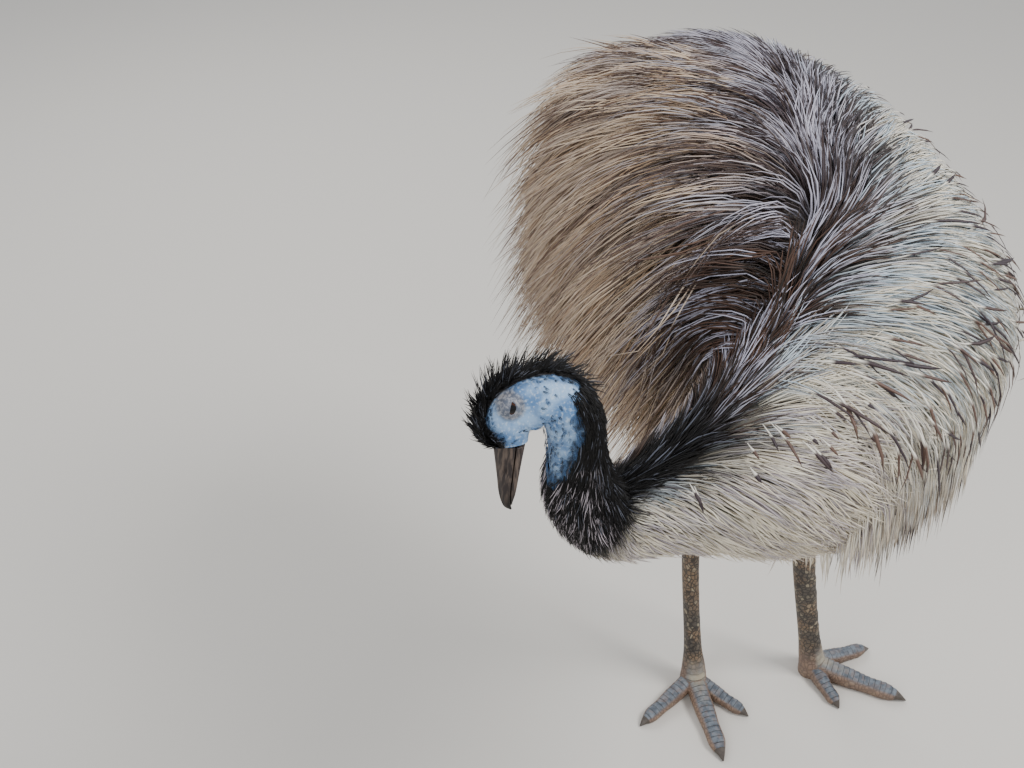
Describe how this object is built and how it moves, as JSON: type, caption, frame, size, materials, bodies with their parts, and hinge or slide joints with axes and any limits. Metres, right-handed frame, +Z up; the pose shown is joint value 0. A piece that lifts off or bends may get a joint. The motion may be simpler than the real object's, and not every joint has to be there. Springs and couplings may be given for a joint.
{
  "type": "emu",
  "caption": "Life-size standing emu with shaggy drooping plumage, its bare blue neck bent down to one side and its bill pointing at the ground.",
  "frame": {"origin": "centre of the bounding box's footprint, on the floor the bird stands on", "axes": "+Z up, -Y the way the bird faces, +X the bird's left"},
  "size_m": [0.8031, 0.7743, 1.1125],
  "materials": {
    "plumage": "matte, shaggy feathers",
    "neck_hair": "matte, black hair-like feathers",
    "blue_skin": "matte bare skin",
    "bill": "satin horn",
    "eye": "wet gloss",
    "scales": "matte horny scales",
    "claw": "satin horn"
  },
  "bodies": {
    "root": {"bill_lower": "bill", "bill_upper": "bill", "claw_inner_left": "claw", "claw_inner_right": "claw", "claw_middle_left": "claw", "claw_middle_right": "claw", "claw_outer_left": "claw", "claw_outer_right": "claw", "eye_left": "eye", "eye_right": "eye", "foot_left": "scales", "foot_right": "scales", "head": "blue_skin", "neck_lower": "neck_hair", "neck_upper": "neck_hair", "shank_left": "scales", "shank_right": "scales", "tail": "plumage", "thigh_left": "plumage", "thigh_right": "plumage", "torso": "plumage", "wing_left": "plumage", "wing_right": "plumage"}
  },
  "joints": []
}
